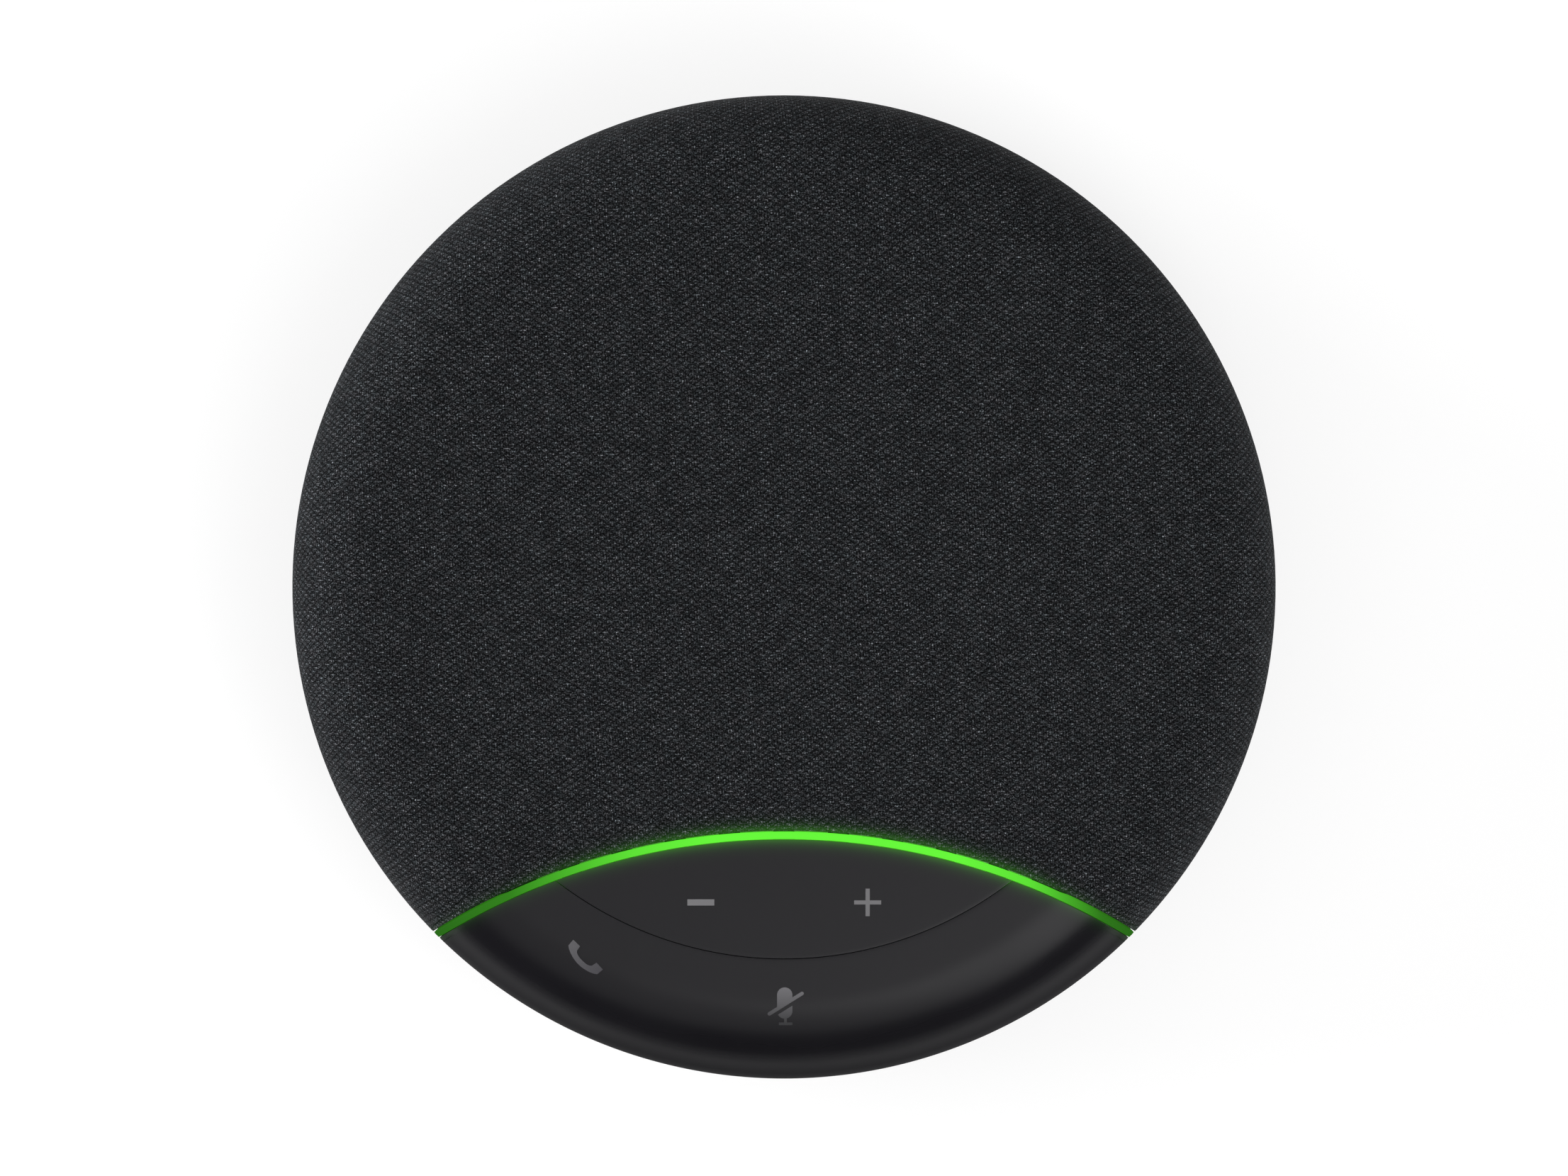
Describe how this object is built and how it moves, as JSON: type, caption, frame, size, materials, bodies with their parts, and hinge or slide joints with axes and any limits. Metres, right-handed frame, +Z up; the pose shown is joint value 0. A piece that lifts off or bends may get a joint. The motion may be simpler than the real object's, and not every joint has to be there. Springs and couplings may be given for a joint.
{
  "type": "conference speakerphone",
  "caption": "Round desktop speakerphone with a woven top, a green light arc, a volume rocker and a front key, and a loudspeaker, boards and battery in a case on a rubber foot ring.",
  "frame": {"origin": "centre of the round body at the table, on the underside of the foot ring", "axes": "+Z up from the table, -Y toward the front key, +X to the right when facing the keys from the front"},
  "size_m": [0.12, 0.12, 0.038],
  "materials": {
    "woven_cloth": "dark melange weave",
    "panel_plastic": "satin",
    "case_plastic": "fine texture",
    "side_key_plastic": "satin",
    "frame_plastic": "as moulded",
    "light_guide_plastic": "diffusing, lit green",
    "white_plastic": "as moulded",
    "soft_rubber": "matt",
    "gasket_foam": "closed cell foam",
    "circuit_board": "solder mask",
    "switch_plastic": "as moulded",
    "battery_wrap": "foil pouch",
    "tinned_shell": "tinned",
    "zinc_steel": "zinc plated",
    "black_steel": "black coated",
    "sintered_magnet": "nickel plated",
    "copper_winding": "enamelled wire",
    "resin_cloth": "resin dipped",
    "cone_paper": "pressed paper",
    "lead_sheath": "sheathed",
    "flat_ribbon": "flat flexible"
  },
  "bodies": {
    "base": {"battery_lead": "lead_sheath", "battery_pack": "battery_wrap", "battery_plug": "white_plastic", "bottom_case": "case_plastic", "call_switch": "switch_plastic", "case_screw_1": "zinc_steel", "case_screw_2": "zinc_steel", "case_screw_3": "zinc_steel", "case_screw_4": "zinc_steel", "fabric_cover": "woven_cloth", "foot_ring": "soft_rubber", "grille": "frame_plastic", "inner_frame": "frame_plastic", "key_board": "circuit_board", "key_ribbon": "flat_ribbon", "light_channel": "white_plastic", "light_guide": "light_guide_plastic", "main_board": "circuit_board", "mic_board_1": "circuit_board", "mic_board_2": "circuit_board", "mic_board_3": "circuit_board", "mic_boot_1": "soft_rubber", "mic_boot_2": "soft_rubber", "mic_boot_3": "soft_rubber", "mute_switch": "switch_plastic", "pairing_switch": "switch_plastic", "power_switch": "switch_plastic", "ribbon_socket": "white_plastic", "rocker_pin": "zinc_steel", "shield_can": "tinned_shell", "speaker_basket": "black_steel", "speaker_gasket": "gasket_foam", "speaker_lead": "lead_sheath", "speaker_magnet": "sintered_magnet", "speaker_plug": "white_plastic", "speaker_screw_1": "zinc_steel", "speaker_screw_2": "zinc_steel", "speaker_screw_3": "zinc_steel", "speaker_screw_4": "zinc_steel", "speaker_spider": "resin_cloth", "speaker_surround": "soft_rubber", "speaker_top_plate": "zinc_steel", "speaker_yoke": "zinc_steel", "usb_socket": "tinned_shell", "volume_down_switch": "switch_plastic", "volume_up_switch": "switch_plastic"},
    "volume_rocker": {"volume_rocker": "panel_plastic"},
    "front_key": {"front_key": "panel_plastic"},
    "power_button": {"power_button": "side_key_plastic"},
    "pairing_button": {"pairing_button": "side_key_plastic"},
    "cone": {"speaker_cone": "cone_paper", "dust_cap": "cone_paper", "voice_coil": "copper_winding"}
  },
  "joints": [
    {"name": "volume_rock", "type": "hinge", "parent": "base", "child": "volume_rocker", "pos_m": [0, -0.03816, 0.03399], "axis": [0, 1, 0], "range_deg": [-1, 1], "stiffness_Nm_per_rad": 1.6},
    {"name": "front_press", "type": "slide", "parent": "base", "child": "front_key", "axis": [0, 0, -1], "range_m": [0, 0.0004], "stiffness_N_per_m": 4000, "springref_m": -0.0002},
    {"name": "power_press", "type": "slide", "parent": "base", "child": "power_button", "axis": [0.2924, -0.9563, 0], "range_m": [0, 0.0004], "stiffness_N_per_m": 2500, "springref_m": -0.0002},
    {"name": "pairing_press", "type": "slide", "parent": "base", "child": "pairing_button", "axis": [-0.2924, -0.9563, 0], "range_m": [0, 0.0004], "stiffness_N_per_m": 2500, "springref_m": -0.0002},
    {"name": "cone_stroke", "type": "slide", "parent": "base", "child": "cone", "axis": [0, 0, 1], "range_m": [-0.0012, 0.0012], "stiffness_N_per_m": 1500, "deforming": ["speaker_surround", "speaker_spider"]}
  ]
}
